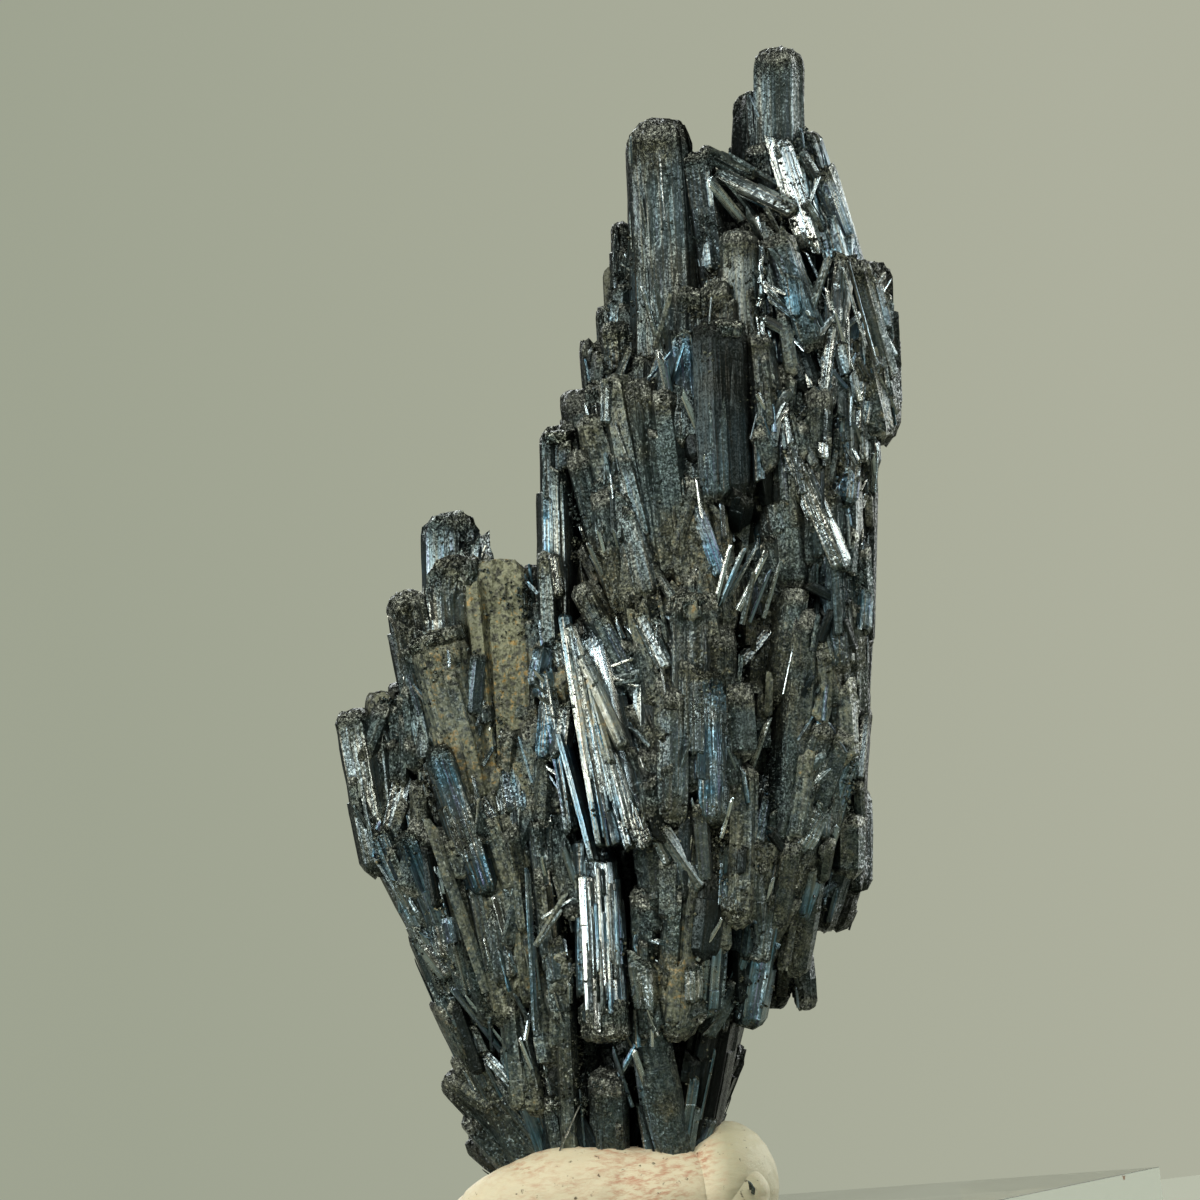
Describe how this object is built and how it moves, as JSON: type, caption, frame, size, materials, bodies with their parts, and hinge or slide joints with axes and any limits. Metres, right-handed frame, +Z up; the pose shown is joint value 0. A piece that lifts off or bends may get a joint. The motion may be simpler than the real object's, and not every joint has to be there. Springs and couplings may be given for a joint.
{
  "type": "stibnite specimen",
  "caption": "Cluster of upright striated stibnite crystals held by a lump of mounting putty on a clear square acrylic block",
  "frame": {"origin": "centre of the block's underside", "axes": "+Z up; +X to the viewer's right and -Y towards the viewer, as in the picture"},
  "size_m": [0.0556, 0.0556, 0.0702],
  "materials": {
    "stibnite": "metallic grey with blue and ochre tarnish, striated",
    "putty": "soft matte cream with rust stains",
    "acrylic": "clear, polished"
  },
  "bodies": {
    "root": {"stibnite_cluster": "stibnite", "mounting_putty": "putty", "acrylic_block": "acrylic"}
  },
  "joints": []
}
